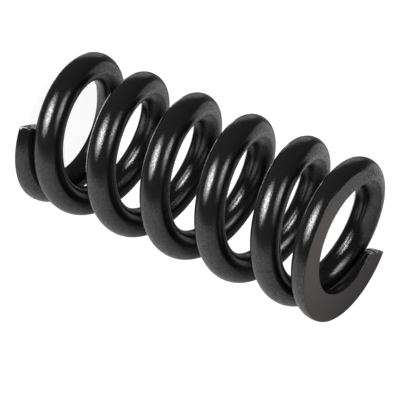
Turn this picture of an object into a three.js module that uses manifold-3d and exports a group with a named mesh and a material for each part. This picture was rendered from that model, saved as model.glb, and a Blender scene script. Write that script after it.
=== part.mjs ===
// Heavy compression coil spring: one round steel wire, wound right-handed, both ends closed and ground flat.
// Millimetres. The spring stands on its lower ground seat: the seat's centre is the origin, +Z runs up the
// coil axis, and the lower wire tip starts on the +X side.
//
// The real spring is a single wire that flexes along its active length. Here that wire is divided into
// stretches that slide along the axis: the closed lower end coil, short stretches of the active wire, and the
// closed upper end coil. The cuts between them are radial planes through the axis, so sliding keeps their gap.

import * as THREE from "three";
import { mergeVertices } from "three/addons/utils/BufferGeometryUtils.js";
import Module from "manifold-3d";

const wasm = await Module();
wasm.setup();

// Driving dimensions.
const WIRE_DIAMETER = 14.5;
const MEAN_DIAMETER = 66;
const FREE_LENGTH = 170;
const TOTAL_TURNS = 6.47;

// Both ends close up alike. From a wire tip the pitch is low, then it grows smoothly to the active pitch
// between two turn counts. Grinding leaves the tip this thick.
const CLOSED_PITCH = 10.6;
const OPENING_FROM = 0.48;
const OPENING_TO = 1.1;
const TIP_THICKNESS = 5.6;

// Just behind each tip the wire is tucked in against the next coil, most of all at TUCK_TURNS from the tip.
const TUCK = 1.3;
const TUCK_TURNS = 0.12;

// The upper end coil springs out a little towards its tip.
const FLARE = 1;
const FLARE_TURNS = 0.83;

// The plane that each wire tip is sheared off in. At the seat it lies `reach` beyond the tip's turn count on
// the wire's centre line, `skew` more for each millimetre outwards, and `lean` more for each millimetre away
// from the seat.
const LOWER_CUT = { reach: 0.1, skew: -0.1, lean: 0.05 };
const UPPER_CUT = { reach: -0.6, skew: 0.23, lean: 0.03 };

// How the wire is divided.
const END_COIL_TURNS = 1.2;
const STRETCH_COUNT = 18;
const STRETCH_GAP = 0.3;

// How finely the wire is faceted.
const STEPS_PER_TURN = 32;
const SECTION_SIDES = 18; // an arc in a shape has two sides for each curve segment

// How near to a tip's cut a point lies to count as part of the wire's end ring.
const RING_TOLERANCE = 0.4;

// Cutting blocks. Each stretch is extruded a little long, and the blocks trim it back to its radial planes.
const OVERSHOOT_TURNS = 0.015;
const TRIM_WIDTH = 1.5 * WIRE_DIAMETER;
const TRIM_DEPTH = 8;
const TRIM_HEIGHT = 18;
const GRIND_WIDTH = 2 * MEAN_DIAMETER;
const GRIND_DEPTH = 20;

const COATING = { color: 0x1d1d1e, roughness: 0.4, metalness: 0.3 };

const WIRE_RADIUS = WIRE_DIAMETER / 2;
const MEAN_RADIUS = MEAN_DIAMETER / 2;
const START_HEIGHT = TIP_THICKNESS - WIRE_RADIUS;
const FINISH_HEIGHT = FREE_LENGTH - START_HEIGHT;

// How much of the wire between a tip and a point `turns` along it counts as wound at the active pitch.
// This is a smooth step in pitch, summed along the wire.
function openTurns(turns) {
  const span = OPENING_TO - OPENING_FROM;
  const x = THREE.MathUtils.clamp((turns - OPENING_FROM) / span, 0, 1);
  return span * (x ** 3 - x ** 4 / 2) + Math.max(0, turns - OPENING_TO);
}

// The same count with the closing at the far end taken off.
function activeTurns(turns) {
  const closedAtFarEnd = TOTAL_TURNS - openTurns(TOTAL_TURNS);
  const closedStillAhead = TOTAL_TURNS - turns - openTurns(TOTAL_TURNS - turns);
  return openTurns(turns) - (closedAtFarEnd - closedStillAhead);
}

const EXTRA_PITCH =
  (FINISH_HEIGHT - START_HEIGHT - CLOSED_PITCH * TOTAL_TURNS) / activeTurns(TOTAL_TURNS);

// How much closer to the next coil the wire lies, `turns` along from a tip.
function tucked(turns) {
  const x = turns / TUCK_TURNS;
  return TUCK * x * Math.exp(1 - x);
}

// Height of the wire's centre, `turns` along from the lower tip.
function centreHeight(turns) {
  const tuck = tucked(turns) - tucked(TOTAL_TURNS - turns);
  return START_HEIGHT + CLOSED_PITCH * turns + EXTRA_PITCH * activeTurns(turns) + tuck;
}

// Distance from the coil's axis to the wire's centre.
function centreRadius(turns) {
  return MEAN_RADIUS + FLARE * THREE.MathUtils.smoothstep(turns, TOTAL_TURNS - FLARE_TURNS, TOTAL_TURNS);
}

// The wire's centre line between two turn counts.
class WireCurve extends THREE.Curve {
  constructor(from, to) {
    super();
    this.from = from;
    this.to = to;
  }

  getPoint(t, target = new THREE.Vector3()) {
    const turns = THREE.MathUtils.lerp(this.from, this.to, t);
    const angle = 2 * Math.PI * turns;
    const radius = centreRadius(turns);
    return target.set(radius * Math.cos(angle), radius * Math.sin(angle), centreHeight(turns));
  }
}

function wireGeometry(from, to) {
  const section = new THREE.Shape();
  section.absarc(0, 0, WIRE_RADIUS, 0, 2 * Math.PI);
  return new THREE.ExtrudeGeometry(section, {
    steps: Math.ceil((to - from) * STEPS_PER_TURN),
    curveSegments: SECTION_SIDES / 2,
    bevelEnabled: false,
    extrudePath: new WireCurve(from, to),
  });
}

// Moves the wire's end ring at a tip onto the plane of its cut. Side 1 is the upper tip, side -1 the lower.
function shearTip(geometry, turns, side, cut) {
  const seat = side > 0 ? FREE_LENGTH : 0;
  const radius = centreRadius(turns);
  geometry.rotateZ(-2 * Math.PI * turns);
  const points = geometry.attributes.position;
  for (let i = 0; i < points.count; i += 1) {
    const outwards = points.getX(i) - radius;
    const aboveWire = points.getZ(i) - centreHeight(turns);
    const onRing = Math.hypot(outwards, aboveWire) < WIRE_RADIUS + RING_TOLERANCE;
    if (onRing && Math.abs(points.getY(i)) < RING_TOLERANCE) {
      const awayFromSeat = side * (seat - points.getZ(i));
      points.setY(i, side * (cut.reach + cut.skew * outwards + cut.lean * awayFromSeat));
    }
  }
  geometry.rotateZ(2 * Math.PI * turns);
  return geometry;
}

function toSolid(geometry) {
  geometry.deleteAttribute("normal");
  geometry.deleteAttribute("uv");
  const merged = mergeVertices(geometry);
  const mesh = new wasm.Mesh({
    numProp: 3,
    vertProperties: merged.attributes.position.array,
    triVerts: Uint32Array.from(merged.index.array),
  });
  return new wasm.Manifold(mesh);
}

function toGeometry(solid) {
  const mesh = solid.getMesh();
  const geometry = new THREE.BufferGeometry();
  geometry.setAttribute("position", new THREE.BufferAttribute(mesh.vertProperties, 3));
  geometry.setIndex(new THREE.BufferAttribute(mesh.triVerts, 1));
  geometry.computeVertexNormals();
  return geometry;
}

// A block against the radial plane at `turns`, leaving half the gap. Side 1 trims what lies beyond the plane,
// side -1 what lies before it.
function trimBlock(turns, side) {
  const block = new THREE.BoxGeometry(TRIM_WIDTH, TRIM_DEPTH, TRIM_HEIGHT);
  block.translate(MEAN_RADIUS, (side * (TRIM_DEPTH - STRETCH_GAP)) / 2, centreHeight(turns));
  block.rotateZ(2 * Math.PI * turns);
  return toSolid(block);
}

// The block that grinding takes away: everything beyond a seat. Side 1 is above the height, side -1 below it.
function grindBlock(height, side) {
  const block = new THREE.BoxGeometry(GRIND_WIDTH, GRIND_WIDTH, GRIND_DEPTH);
  block.translate(0, 0, height + (side * GRIND_DEPTH) / 2);
  return toSolid(block);
}

function lowerEndCoil() {
  const round = wireGeometry(0, END_COIL_TURNS + OVERSHOOT_TURNS);
  const wire = toSolid(shearTip(round, 0, -1, LOWER_CUT));
  return wire.subtract(trimBlock(END_COIL_TURNS, 1)).subtract(grindBlock(0, -1));
}

function upperEndCoil() {
  const from = TOTAL_TURNS - END_COIL_TURNS;
  const round = wireGeometry(from - OVERSHOOT_TURNS, TOTAL_TURNS);
  const wire = toSolid(shearTip(round, TOTAL_TURNS, 1, UPPER_CUT));
  return wire.subtract(trimBlock(from, -1)).subtract(grindBlock(FREE_LENGTH, 1));
}

function activeStretch(from, to) {
  const wire = toSolid(wireGeometry(from - OVERSHOOT_TURNS, to + OVERSHOOT_TURNS));
  return wire.subtract(trimBlock(from, -1)).subtract(trimBlock(to, 1));
}

function addPiece(name, solid) {
  const piece = new THREE.Mesh(toGeometry(solid), new THREE.MeshStandardMaterial(COATING));
  piece.name = name;
  spring.add(piece);
}

const spring = new THREE.Group();
addPiece("lower_end_coil", lowerEndCoil());

const stretchTurns = (TOTAL_TURNS - 2 * END_COIL_TURNS) / STRETCH_COUNT;
for (let i = 0; i < STRETCH_COUNT; i += 1) {
  const from = END_COIL_TURNS + i * stretchTurns;
  const number = String(i + 1).padStart(2, "0");
  addPiece(`active_wire_${number}`, activeStretch(from, from + stretchTurns));
}

addPiece("upper_end_coil", upperEndCoil());

export default spring;
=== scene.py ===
import math

import bpy
import numpy as np
from mathutils import Matrix, Vector, noise


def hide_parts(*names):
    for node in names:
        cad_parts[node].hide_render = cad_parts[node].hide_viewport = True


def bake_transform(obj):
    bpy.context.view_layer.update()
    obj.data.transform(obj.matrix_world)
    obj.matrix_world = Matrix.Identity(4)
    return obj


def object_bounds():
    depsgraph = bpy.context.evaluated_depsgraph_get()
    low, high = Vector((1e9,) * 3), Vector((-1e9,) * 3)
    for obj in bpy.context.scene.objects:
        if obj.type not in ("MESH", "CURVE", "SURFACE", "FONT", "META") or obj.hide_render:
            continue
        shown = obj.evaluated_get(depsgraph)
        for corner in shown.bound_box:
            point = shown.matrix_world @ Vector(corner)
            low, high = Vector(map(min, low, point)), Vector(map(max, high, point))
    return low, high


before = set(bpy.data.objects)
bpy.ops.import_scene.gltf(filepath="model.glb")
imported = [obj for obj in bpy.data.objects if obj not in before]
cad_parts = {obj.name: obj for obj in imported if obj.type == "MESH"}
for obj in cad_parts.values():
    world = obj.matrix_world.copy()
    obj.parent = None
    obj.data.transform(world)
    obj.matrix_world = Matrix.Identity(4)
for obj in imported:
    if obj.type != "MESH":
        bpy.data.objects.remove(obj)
CAD_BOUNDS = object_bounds()

# The wire, in metres and turns, as the CAD model has it.
WIRE_RADIUS = 0.00725
MEAN_RADIUS = 0.033
TOTAL_TURNS = 6.47
CLOSED_PITCH = 0.0106
OPENING_FROM = 0.48
OPENING_TO = 1.1
TIP_THICKNESS = 0.0056
TUCK = 0.0013  # how far the wire is tucked in against the next coil, most of all TUCK_TURNS from each tip
TUCK_TURNS = 0.12
FLARE = 0.001  # how far the upper end coil springs out, over its last FLARE_TURNS
FLARE_TURNS = 0.83
LOWER_SEAT = CAD_BOUNDS[0][2]
UPPER_SEAT = CAD_BOUNDS[1][2]
SPRING_MIDDLE = Vector((0, 0, (LOWER_SEAT + UPPER_SEAT) / 2))

# The plane that each tip is sheared off in. At the seat it lies `reach` beyond the tip's turn count on the
# wire's centre line, `skew` more for each metre outwards, and `lean` more for each metre away from the
# seat. Side 1 is the upper tip, side -1 the lower.
LOWER_CUT = {
    "turns": 0.0,
    "side": -1,
    "seat": LOWER_SEAT,
    "reach": 0.0001,
    "skew": -0.1,
    "lean": 0.05,
}
UPPER_CUT = {
    "turns": TOTAL_TURNS,
    "side": 1,
    "seat": UPPER_SEAT,
    "reach": -0.0006,
    "skew": 0.23,
    "lean": 0.03,
}
CUT_FADE_TURNS = 0.08  # how far back from a tip the wire's sections turn towards its cut

# The wire's finish.
SEAT_EDGE_RADIUS = 0.00035
TIP_EDGE_RADIUS = 0.0005
TIP_ROUGHNESS = 0.0003
GRAIN_HEIGHT = 0.000055
RIPPLE_HEIGHT = 0.00002
SPECKS = (0.5, 1.5)  # how much the gloss varies from speck to speck
COAT_BLACKS = (0.0040, 0.0040, 0.0041, 1), (0.0064, 0.0058, 0.0056, 1)
# The ground seats' coat in a shaded and a lit tone: painted shade near each tip, painted light away from it.
SEAT_SHADED_TONES = (0.037, 0.032, 0.033, 1), (0.046, 0.040, 0.041, 1)
SEAT_LIT_TONES = (0.088, 0.078, 0.075, 1), (0.100, 0.089, 0.086, 1)
SEAT_RUN_OUT = (0.50, 0.70)  # turns from a tip, between which the seat's coat gives way to the gloss
STEEL_TONES = (0.02, 0.019, 0.018, 1), (0.45, 0.44, 0.43, 1)

# Mesh density.
STEPS_PER_TURN = 140
SECTION_POINTS = 64
TIP_EDGE_STEPS = 5
TIP_RINGS = 26
ROUGHENING_RINGS = 3  # how many rings it takes for a cut face to grow fully rough
NEARBY_TURNS = 1e-4  # a small step along the wire, for its slope

# The camera, as angles round the spring. It is rolled so that the spring lies across the picture.
CAMERA_AZIMUTH = math.radians(-12.79)
CAMERA_ELEVATION = math.radians(27.21)
CAMERA_ROLL = math.radians(112.58)
CAMERA_DISTANCE = 1.4144
CAMERA_SLIDE_RIGHT = 0.0033
CAMERA_SLIDE_DOWN = 0.0139
CAMERA_LENS = 248.6


# ---------------------------------------------------------------- centre line

def open_turns(turns):
    """How much of the wire from a tip counts as wound at the active pitch: a smooth step, summed."""
    span = OPENING_TO - OPENING_FROM
    x = np.clip((turns - OPENING_FROM) / span, 0, 1)
    return span * (x**3 - x**4 / 2) + np.maximum(0, turns - OPENING_TO)


def active_turns(turns):
    """The same count, with the closing at the far end taken off."""
    closed_at_far_end = TOTAL_TURNS - open_turns(TOTAL_TURNS)
    closed_still_ahead = TOTAL_TURNS - turns - open_turns(TOTAL_TURNS - turns)
    return open_turns(turns) - (closed_at_far_end - closed_still_ahead)


def tucked(turns):
    """How much closer to the next coil the wire lies near a tip."""
    x = turns / TUCK_TURNS
    return TUCK * x * np.exp(1 - x)


def centre_height(turns):
    """Height of the wire's centre, so many turns along from the lower tip."""
    start = LOWER_SEAT + TIP_THICKNESS - WIRE_RADIUS
    finish = UPPER_SEAT - TIP_THICKNESS + WIRE_RADIUS
    extra_pitch = (finish - start - CLOSED_PITCH * TOTAL_TURNS) / active_turns(TOTAL_TURNS)
    tuck = tucked(turns) - tucked(TOTAL_TURNS - turns)
    return start + CLOSED_PITCH * turns + extra_pitch * active_turns(turns) + tuck


def centre_radius(turns):
    """Distance from the coil's axis to the wire's centre."""
    x = np.clip((turns - TOTAL_TURNS + FLARE_TURNS) / FLARE_TURNS, 0, 1)
    return MEAN_RADIUS + FLARE * (3 * x**2 - 2 * x**3)


# ---------------------------------------------------------------- wire surface

def ground_section(height, normals):
    """A circle whose centre is `height` above a flat seat, ground off at the seat with a rounded edge.

    Returns how far across the wire and how far above the seat the point for each outward normal angle lies,
    and half the width of the ground face. The circle is whole when the seat doesn't reach it."""
    edge = SEAT_EDGE_RADIUS
    reach = WIRE_RADIUS - edge
    drop = np.clip((height - edge) / reach, -1, 1)
    half_face = reach * np.sqrt(1 - drop**2)
    cos, sin = np.cos(normals), np.sin(normals)
    on_circle = sin >= -drop
    across = np.where(on_circle, WIRE_RADIUS * cos, np.sign(cos) * half_face + edge * cos)
    above = np.where(on_circle, height + WIRE_RADIUS * sin, edge + edge * sin)
    return across, above, half_face


def wire_sections(turns):
    """Points of the wire's surface, in radial planes, and how much each lies on a ground face.

    turns has a row for each section and a column for each of its points, or one column for them all."""
    step = 2 * math.pi / SECTION_POINTS
    normals = (-math.pi / 2 + step * (np.arange(SECTION_POINTS) + 0.5))[None, :]
    centre = centre_height(turns)
    rise = centre_height(turns + NEARBY_TURNS) - centre_height(turns - NEARBY_TURNS)
    slope = rise / (2 * NEARBY_TURNS)
    stretch = np.sqrt(1 + (slope / (2 * math.pi * MEAN_RADIUS)) ** 2)

    from_lower = (centre - LOWER_SEAT) / stretch
    from_upper = (UPPER_SEAT - centre) / stretch
    across_low, above_low, face_low = ground_section(from_lower, normals)
    across_up, above_up, face_up = ground_section(from_upper, -normals)
    lower_half = turns < TOTAL_TURNS / 2
    across = np.where(lower_half, across_low, across_up)
    height = np.where(lower_half, LOWER_SEAT + above_low * stretch, UPPER_SEAT - above_up * stretch)

    # The points whose normals face the seat lie on its ground face, which counts in full once its half width
    # is a quarter of the wire's radius.
    facing_seat = np.where(lower_half, np.sin(normals), -np.sin(normals)) < -math.cos(0.6 * step)
    face = np.where(lower_half, face_low, face_up)
    ground = facing_seat * np.clip(face / (0.25 * WIRE_RADIUS), 0, 1)
    return across, height, ground


def place(across, height, turns):
    """Points in space, from how far outwards of the wire's centre line they lie, their height and turns."""
    angle = 2 * math.pi * turns
    radius = centre_radius(turns) + across
    return np.stack(np.broadcast_arrays(radius * np.cos(angle), radius * np.sin(angle), height), -1)


def cut_turns(cut, across, height, push=0.0):
    """How many turns past its tip a cut face lies at a place on it."""
    away_from_seat = np.abs(height - cut["seat"])
    reach = cut["reach"] + cut["skew"] * across + cut["lean"] * away_from_seat
    radius = centre_radius(cut["turns"]) + across
    return cut["side"] * (reach - TIP_EDGE_RADIUS + push) / (2 * math.pi * radius)


def skewed_turns(turns, cut):
    """Turn counts for every point of the sections, drawn towards the plane of a tip's cut near that tip."""
    across, height, _ = wire_sections(np.array([[cut["turns"]]]))
    from_tip = np.abs(turns - cut["turns"]) / CUT_FADE_TURNS
    return np.clip(1 - from_tip, 0, 1) ** 2 * cut_turns(cut, across, height)


def tip_rings(cut):
    """Rings that close the wire at a tip: a rounded edge, then a rough cut face."""
    across, height, _ = wire_sections(np.array([[cut["turns"]]]))
    across, height = across[0], height[0]
    middle_across = (across.max() + across.min()) / 2
    middle_height = (height.max() + height.min()) / 2
    half_size = (height.max() - height.min()) / 2
    shape = []
    for k in range(1, TIP_EDGE_STEPS + 1):
        a = k / TIP_EDGE_STEPS * math.pi / 2
        shape.append((TIP_EDGE_RADIUS * (1 - math.cos(a)), TIP_EDGE_RADIUS * math.sin(a), 0))
    for k in range(1, TIP_RINGS):
        inset = TIP_EDGE_RADIUS + (half_size - TIP_EDGE_RADIUS) * k / TIP_RINGS
        shape.append((inset, TIP_EDGE_RADIUS, min(1, k / ROUGHENING_RINGS)))
    rings = []
    for inset, push, rough in shape:
        share = 1 - inset / half_size
        ring_across = middle_across + (across - middle_across) * share
        ring_height = middle_height + (height - middle_height) * share
        flat = place(ring_across, ring_height, cut["turns"])
        bumps = rough * np.array([tip_bump(Vector(spot)) for spot in flat])
        turns = cut["turns"] + cut_turns(cut, ring_across, ring_height, push + bumps)
        rings.append(place(ring_across, ring_height, turns))
    return rings


def tip_bump(spot):
    """How far a place on a cut face stands out from its plane."""
    coarse = noise.noise(spot * 450)
    fine = noise.noise(spot * 1400)
    return TIP_ROUGHNESS * (coarse + 0.5 * fine)


def wire_faces(ring_count):
    """Quads between neighbouring rings, and triangles round a middle point that close each end."""
    around = np.arange(SECTION_POINTS)
    beside = (around + 1) % SECTION_POINTS
    faces = []
    for ring in range(ring_count - 1):
        here = ring * SECTION_POINTS
        there = here + SECTION_POINTS
        faces.extend(zip(here + around, there + around, there + beside, here + beside))
    lower_middle = ring_count * SECTION_POINTS
    upper_middle = lower_middle + 1
    top_ring = (ring_count - 1) * SECTION_POINTS
    faces.extend((lower_middle, a, b) for a, b in zip(around, beside))
    faces.extend((upper_middle, b, a) for a, b in zip(top_ring + around, top_ring + beside))
    return [tuple(int(i) for i in face) for face in faces]


def wire_mesh():
    """The whole wire as one closed mesh, and the turn count of each of its points."""
    count = int(TOTAL_TURNS * STEPS_PER_TURN) + 1
    turns = np.linspace(0, TOTAL_TURNS, count)[:, None]
    turns = turns + skewed_turns(turns, LOWER_CUT) + skewed_turns(turns, UPPER_CUT)
    across, height, ground = wire_sections(turns)
    body = place(across, height, turns)
    lower = tip_rings(LOWER_CUT)
    upper = tip_rings(UPPER_CUT)

    rings = lower[::-1] + list(body) + upper
    ring_turns = [0.0] * len(lower) + list(turns.mean(1)) + [TOTAL_TURNS] * len(upper)
    ring_ground = [ground[0] * 0] * len(lower) + list(ground) + [ground[0] * 0] * len(upper)
    ring_cut = [1.0] * len(lower) + [0.0] * len(body) + [1.0] * len(upper)

    points = np.concatenate([np.array(rings).reshape(-1, 3), [rings[0].mean(0)], [rings[-1].mean(0)]])
    share_turns = np.append(np.repeat(ring_turns, SECTION_POINTS), [0.0, TOTAL_TURNS])
    ground_values = np.append(np.array(ring_ground).reshape(-1), [0.0, 0.0])
    cut_values = np.append(np.repeat(ring_cut, SECTION_POINTS), [1.0, 1.0])

    mesh = bpy.data.meshes.new("wire")
    mesh.from_pydata(points.tolist(), [], wire_faces(len(rings)))
    mesh.polygons.foreach_set("use_smooth", [True] * len(mesh.polygons))
    store(mesh, "ground_face", "FLOAT", "value", ground_values)
    store(mesh, "cut_face", "FLOAT", "value", cut_values)
    store(mesh, "turns_from_tip", "FLOAT", "value", np.minimum(share_turns, TOTAL_TURNS - share_turns))
    store(mesh, "rest_place", "FLOAT_VECTOR", "vector", points.reshape(-1))
    mesh.validate()
    return mesh, share_turns


def store(mesh, name, kind, field, values):
    """Keeps a value for each point of the mesh, for the materials to read."""
    layer = mesh.attributes.new(name, kind, "POINT")
    layer.data.foreach_set(field, np.asarray(values, np.float32))


def make_wire():
    mesh, turns = wire_mesh()
    wire = bpy.data.objects.new("spring_wire", mesh)
    bpy.context.scene.collection.objects.link(wire)
    wire.data.materials.append(coat_material())
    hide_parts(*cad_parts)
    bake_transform(wire)
    return wire


# ---------------------------------------------------------------- materials

class Nodes:
    """A short way to write a node tree."""

    def __init__(self, owner):
        owner.use_nodes = True
        self.tree = owner.node_tree
        self.tree.nodes.clear()

    def add(self, kind, values=None, **settings):
        node = self.tree.nodes.new(kind)
        for name, value in settings.items():
            setattr(node, name, value)
        for name, value in (values or {}).items():
            if isinstance(value, bpy.types.NodeSocket):
                self.tree.links.new(value, node.inputs[name])
            else:
                node.inputs[name].default_value = value
        return node

    def math(self, operation, a, b=0.0, clamp=False):
        node = self.add("ShaderNodeMath", {0: a, 1: b}, operation=operation, use_clamp=clamp)
        return node.outputs[0]

    def noise(self, place, scale, detail=2.0, roughness=0.5):
        """Smooth noise from 0 to 1, with `scale` of its largest features to a metre."""
        values = {"Vector": place, "Scale": scale, "Detail": detail, "Roughness": roughness}
        return self.add("ShaderNodeTexNoise", values).outputs["Fac"]

    def ramp(self, value, low, high, out_low=0.0, out_high=1.0):
        """Goes smoothly from out_low to out_high while the value goes from low to high."""
        values = {"Value": value, "From Min": low, "From Max": high, "To Min": out_low, "To Max": out_high}
        node = self.add("ShaderNodeMapRange", values, interpolation_type="SMOOTHSTEP")
        return node.outputs["Result"]

    def mix_colour(self, share, a, b):
        node = self.add("ShaderNodeMix", {0: share, 6: a, 7: b}, data_type="RGBA")
        return node.outputs[2]


def coat_material():
    """Black coat on the wire, and the browner, duller coat on the ground seats."""
    material = bpy.data.materials.new("black_coat")
    n = Nodes(material)
    place_of = n.add("ShaderNodeAttribute", attribute_name="rest_place").outputs["Vector"]
    ground = n.add("ShaderNodeAttribute", attribute_name="ground_face").outputs["Fac"]
    cut = n.add("ShaderNodeAttribute", attribute_name="cut_face").outputs["Fac"]
    from_tip = n.add("ShaderNodeAttribute", attribute_name="turns_from_tip").outputs["Fac"]
    seat = n.math("MULTIPLY", ground, n.ramp(from_tip, *SEAT_RUN_OUT, 1.0, 0.0))
    sides = n.add("ShaderNodeMixShader", {0: seat, 1: gloss_coat(n, place_of), 2: seat_coat(n, place_of)})
    both = n.add("ShaderNodeMixShader", {0: cut, 1: sides.outputs[0], 2: sheared_steel(n, place_of)})
    n.add("ShaderNodeOutputMaterial", {"Surface": both.outputs[0]})
    return material


def gloss_coat(n, place_of):
    """Nearly black paint under a clear gloss, which is grainy and shines more in some specks than others."""
    grain = n.noise(place_of, 1400, 1.0, 0.5)
    ripple = n.noise(place_of, 260, 2.0, 0.5)
    height = n.math("ADD", n.math("MULTIPLY", grain, GRAIN_HEIGHT), n.math("MULTIPLY", ripple, RIPPLE_HEIGHT))
    bumped = n.add("ShaderNodeBump", {"Strength": 1.0, "Distance": 1.0, "Height": height}).outputs["Normal"]
    patches = n.noise(place_of, 60, 3.0)
    paint = n.mix_colour(patches, *COAT_BLACKS)
    dark = n.add("ShaderNodeBsdfDiffuse", {"Color": paint, "Normal": bumped})
    rough = n.ramp(n.noise(place_of, 900, 3.0), 0.3, 0.7, 0.18, 0.26)
    gloss = n.add("ShaderNodeBsdfAnisotropic", {
        "Color": (1, 1, 1, 1), "Roughness": rough, "Normal": bumped}, distribution="BECKMANN")
    fresnel = n.add("ShaderNodeFresnel", {"IOR": 1.5, "Normal": bumped}).outputs[0]
    specks = n.ramp(n.noise(place_of, 1750, 1.0), 0.3, 0.7, *SPECKS)
    share = n.math("MULTIPLY", fresnel, specks, clamp=True)
    return n.add("ShaderNodeMixShader", {0: share, 1: dark.outputs[0], 2: gloss.outputs[0]}).outputs[0]


def seat_coat(n, place_of):
    """The ground seats' duller coat, painted darker near the tip and paler away from it, as painted shade and
    painted light.
    """
    from_tip = n.add("ShaderNodeAttribute", attribute_name="turns_from_tip").outputs["Fac"]
    patches = n.noise(place_of, 60, 3.0)
    grain = n.noise(place_of, 1500, 3.0, 0.6)
    bumped = n.add("ShaderNodeBump", {
        "Strength": 1.0, "Distance": 1.0, "Height": n.math("MULTIPLY", grain, 0.00002)}).outputs["Normal"]
    # Lit and shaded tones of the same seat coat: painted light and painted shade, not a change in the coat.
    pale = n.mix_colour(patches, *SEAT_LIT_TONES)
    dark = n.mix_colour(patches, *SEAT_SHADED_TONES)
    return n.add("ShaderNodeBsdfPrincipled", {
        # Painted shade near the tip gives way to painted light further along the seat.
        "Base Color": n.mix_colour(n.ramp(from_tip, 0.05, 0.6), dark, pale),
        "Roughness": 0.55,
        "Specular IOR Level": 0.4,
        "Normal": bumped,
    }).outputs[0]


def sheared_steel(n, place_of):
    """Bare grey steel at the cut tips, smeared with the coat."""
    smear = n.ramp(n.noise(place_of, 420, 3.0, 0.6), 0.44, 0.62)
    grain = n.noise(place_of, 1100, 3.0, 0.6)
    bumped = n.add("ShaderNodeBump", {
        "Strength": 1.0, "Distance": 1.0, "Height": n.math("MULTIPLY", grain, 0.0001)}).outputs["Normal"]
    return n.add("ShaderNodeBsdfPrincipled", {
        "Base Color": n.mix_colour(smear, *STEEL_TONES),
        "Metallic": 0.35,
        "Roughness": 0.45,
        "Normal": bumped,
    }).outputs[0]


def floor_material():
    """A plain pale floor that stays near white in soft shadow."""
    material = bpy.data.materials.new("pale_floor")
    n = Nodes(material)
    lit = n.add("ShaderNodeBsdfDiffuse", {"Color": (0.35, 0.35, 0.35, 1)})
    glow = n.add("ShaderNodeEmission", {"Color": (0.90, 0.90, 0.90, 1), "Strength": 1.0})
    both = n.add("ShaderNodeAddShader", {0: lit.outputs[0], 1: glow.outputs[0]})
    n.add("ShaderNodeOutputMaterial", {"Surface": both.outputs[0]})
    return material


# ---------------------------------------------------------------- studio

def camera_axes():
    """The camera's right and up, and the direction from the spring towards it."""
    azimuth, elevation, roll = CAMERA_AZIMUTH, CAMERA_ELEVATION, CAMERA_ROLL
    level = math.cos(elevation)
    toward = Vector((level * math.cos(azimuth), level * math.sin(azimuth), math.sin(elevation)))
    level_right = Vector((-math.sin(azimuth), math.cos(azimuth), 0))
    level_up = toward.cross(level_right)
    right = level_right * math.cos(roll) + level_up * math.sin(roll)
    up = level_up * math.cos(roll) - level_right * math.sin(roll)
    return right, up, toward


RIGHT, UP, TOWARD = camera_axes()

# What the spring sees round it besides the lights, as radiance. The table's light changes evenly over the
# directions, and its far edge is soft.
ROOM_LEVEL = 0.09
AWAY_FROM_TABLE = (UP * 0.799 + TOWARD * 0.601).normalized()
TABLE_EDGE = (-0.02, 0.32)
TABLE_LEVEL = 0.50
TABLE_TILT = -0.48 * RIGHT - 0.48 * UP + 0.31 * TOWARD
TABLE_DIMMEST = 0.10
TABLE_DISTANCE = 0.0425

# The spring's shadow on that table: half its length and width, its shift to one side, and its radiance.
SHADOW_HALF_SIZE = (0.115, 0.045)
SHADOW_SHIFT = 0.02
SHADOW_LEVEL = 0.18

FLOOR_HALF_SIZE = 6.0


def seen_from_camera(azimuth, elevation):
    """A direction from the spring, by degrees to the camera's right and above it."""
    azimuth, elevation = math.radians(azimuth), math.radians(elevation)
    level = TOWARD * math.cos(azimuth) + RIGHT * math.sin(azimuth)
    return level * math.cos(elevation) + UP * math.sin(elevation)


def posed(x, y, z, location):
    """The matrix that puts an object's own axes along x, y and z, at a place."""
    return Matrix.Translation(location) @ Matrix((x, y, z)).transposed().to_4x4()


def make_camera():
    camera = bpy.data.objects.new("camera", bpy.data.cameras.new("camera"))
    bpy.context.scene.collection.objects.link(camera)
    camera.data.lens = CAMERA_LENS
    location = SPRING_MIDDLE + TOWARD * CAMERA_DISTANCE
    location += RIGHT * CAMERA_SLIDE_RIGHT - UP * CAMERA_SLIDE_DOWN
    camera.matrix_world = posed(RIGHT, UP, TOWARD, location)
    bpy.context.scene.camera = camera


def make_softbox(name, azimuth, elevation, wide, high, radiance, distance=1.2):
    """An oval light `wide` and `high` degrees across, as the spring sees it."""
    away = seen_from_camera(azimuth, elevation)
    light = bpy.data.lights.new(name, "AREA")
    light.shape = "ELLIPSE"
    light.size = 2 * distance * math.tan(math.radians(wide / 2))
    light.size_y = 2 * distance * math.tan(math.radians(high / 2))
    light.energy = radiance * math.pi * light.size * light.size_y
    side = UP.cross(away).normalized()
    lamp = bpy.data.objects.new(name, light)
    bpy.context.scene.collection.objects.link(lamp)
    lamp.matrix_world = posed(side, away.cross(side), away, SPRING_MIDDLE + away * distance)
    return lamp


def facing(n, direction, vector, level=0.0):
    """How nearly a direction points along a vector, plus a level."""
    product = n.add("ShaderNodeVectorMath", {0: direction, 1: vector}, operation="DOT_PRODUCT")
    return n.math("ADD", product.outputs["Value"], level)


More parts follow.
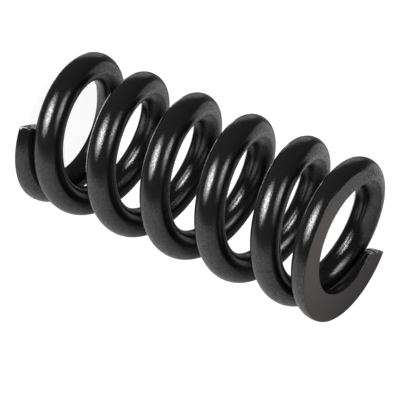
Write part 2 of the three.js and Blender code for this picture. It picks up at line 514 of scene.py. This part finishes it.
def make_surroundings():
    """White all round for the camera. The spring itself sees a dark room with a lit table under it, as the
    camera has it, which dims towards the back and the right."""
    world = bpy.data.worlds.new("studio")
    bpy.context.scene.world = world
    n = Nodes(world)
    direction = n.add("ShaderNodeTexCoord").outputs["Generated"]
    table = facing(n, direction, TABLE_TILT, TABLE_LEVEL)
    onto_table = n.ramp(facing(n, direction, -AWAY_FROM_TABLE), *TABLE_EDGE)
    above_dark = n.math("MAXIMUM", table, TABLE_DIMMEST)
    level = n.math("ADD", n.math("MULTIPLY", above_dark, onto_table), ROOM_LEVEL)
    seen_by_spring = n.add("ShaderNodeBackground", {"Color": (1, 1, 1, 1), "Strength": level})
    seen_by_camera = n.add("ShaderNodeBackground", {"Color": (1, 1, 1, 1), "Strength": 1.0})
    is_camera = n.add("ShaderNodeLightPath").outputs["Is Camera Ray"]
    both = n.add("ShaderNodeMixShader", {
        0: is_camera, 1: seen_by_spring.outputs[0], 2: seen_by_camera.outputs[0]})
    n.add("ShaderNodeOutputWorld", {"Surface": both.outputs[0]})


def make_sheet(name, half_length, half_width, height, material):
    """A flat, level rectangle round the coil's axis."""
    corners = [
        (-half_length, -half_width, height),
        (half_length, -half_width, height),
        (half_length, half_width, height),
        (-half_length, half_width, height),
    ]
    mesh = bpy.data.meshes.new(name)
    mesh.from_pydata(corners, [], [(0, 1, 2, 3)])
    mesh.materials.append(material)
    sheet = bpy.data.objects.new(name, mesh)
    bpy.context.scene.collection.objects.link(sheet)
    return sheet


def table_shadow_material():
    """Dark in the middle, fading out to nothing at the edges."""
    material = bpy.data.materials.new("table_shadow")
    n = Nodes(material)
    place_of = n.add("ShaderNodeTexCoord").outputs["Object"]
    split = n.add("ShaderNodeSeparateXYZ", {0: place_of})
    along = n.math("ABSOLUTE", split.outputs["X"])
    across = n.math("ABSOLUTE", split.outputs["Y"])
    length, width = SHADOW_HALF_SIZE
    cover = n.math("MULTIPLY", n.ramp(along, length, 0.7 * length), n.ramp(across, width, 0.5 * width))
    clear = n.add("ShaderNodeBsdfTransparent")
    dark = n.add("ShaderNodeEmission", {"Color": (1, 1, 1, 1), "Strength": SHADOW_LEVEL})
    both = n.add("ShaderNodeMixShader", {0: cover, 1: clear.outputs[0], 2: dark.outputs[0]})
    n.add("ShaderNodeOutputMaterial", {"Surface": both.outputs[0]})
    return material


def make_table_shadow():
    """The shadow on the table under the spring, which only the spring's own reflections see."""
    along = Vector((0, 0, 1))
    side = AWAY_FROM_TABLE.cross(along).normalized()
    length, width = SHADOW_HALF_SIZE
    shadow = make_sheet("table_shadow", length, width, 0, table_shadow_material())
    location = SPRING_MIDDLE + side * SHADOW_SHIFT - AWAY_FROM_TABLE * TABLE_DISTANCE
    shadow.matrix_world = posed(along, side, along.cross(side), location)
    shadow.visible_camera = False
    shadow.visible_diffuse = False


def make_floor():
    floor = make_sheet("floor", FLOOR_HALF_SIZE, FLOOR_HALF_SIZE, LOWER_SEAT, floor_material())
    floor.visible_glossy = False
    floor.visible_diffuse = False
    floor.visible_shadow = False


make_wire()
make_floor()
make_surroundings()
# The key and the fill each have a bright middle and a dimmer, wider edge.
make_softbox("key_softbox_middle", -34, 19.5, 30, 31, 11.2)
make_softbox("key_softbox_edge", -39, 20.5, 50, 50, 4.6)
make_softbox("fill_softbox_middle", 46, 9, 26, 19, 4.2)
make_softbox("fill_softbox_edge", 43.5, 6.5, 32, 38, 1.7)
make_softbox("rim_softbox", -163, 14, 20, 34, 1.2)
make_softbox("far_table_glow", 130, 0, 52, 44, 0.36)
make_softbox("backdrop_glow", 170, 43, 38, 26, 0.36)
make_table_shadow()
make_camera()
bpy.context.scene.view_settings.view_transform = "Standard"
